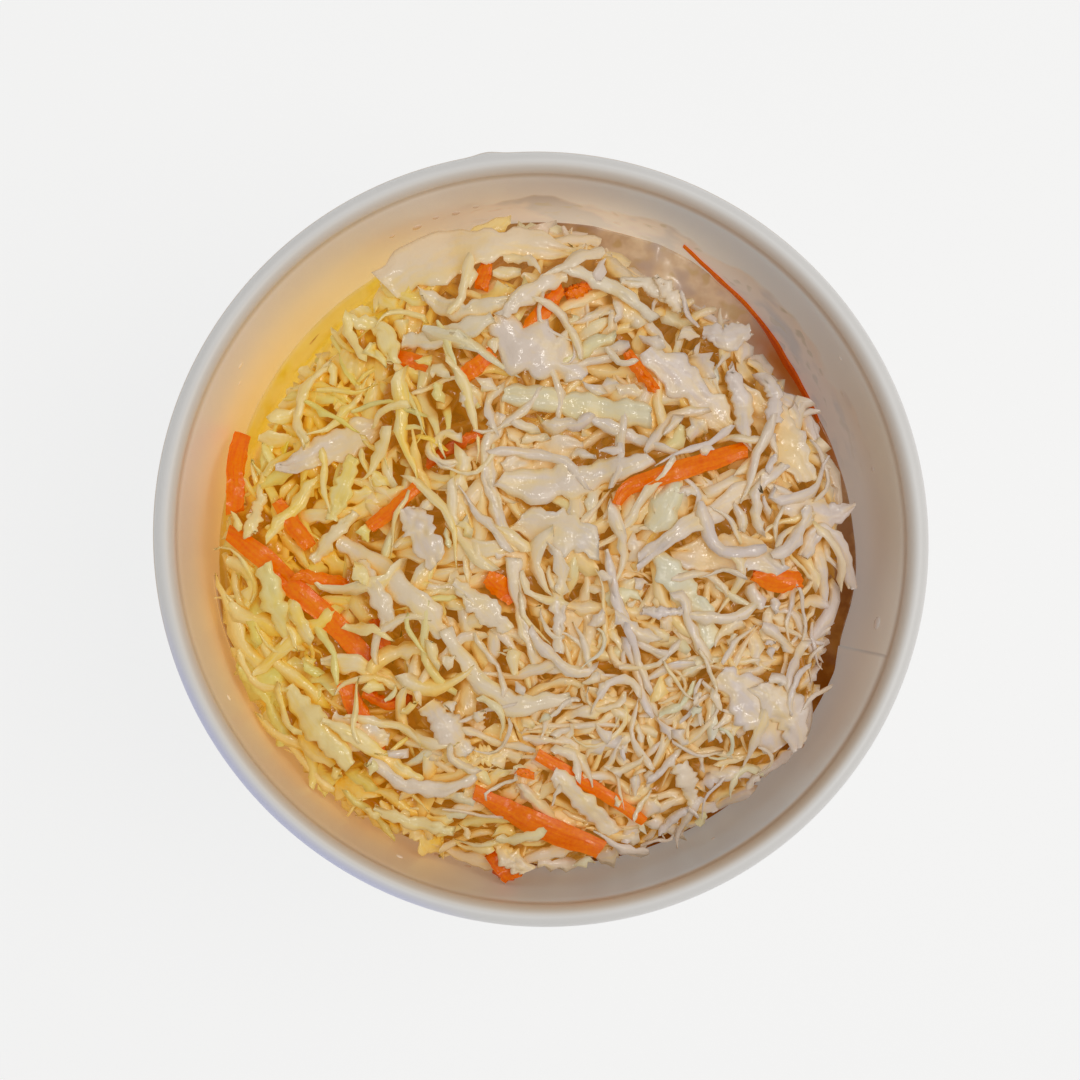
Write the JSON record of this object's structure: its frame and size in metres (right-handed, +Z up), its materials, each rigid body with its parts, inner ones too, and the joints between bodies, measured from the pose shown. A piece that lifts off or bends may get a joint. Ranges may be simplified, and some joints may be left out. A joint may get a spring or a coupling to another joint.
{
  "type": "cup of coleslaw",
  "caption": "Finely shredded cabbage and carrot slaw heaped in a round white paper cup with a rolled rim, open at the top.",
  "frame": {"origin": "on the table under the middle of the cup's foot", "axes": "+Z up the cup's axis, -Y towards the front, and the side seam to the right of the front"},
  "size_m": [0.098, 0.098, 0.062],
  "materials": {
    "board": "satin coated paperboard",
    "slaw": "wet shredded cabbage",
    "carrot": "wet shredded carrot",
    "dressing": "thin glossy dressing"
  },
  "bodies": {
    "root": {"cup_wall": "board", "cup_base": "board", "coleslaw": "slaw"}
  },
  "joints": []
}
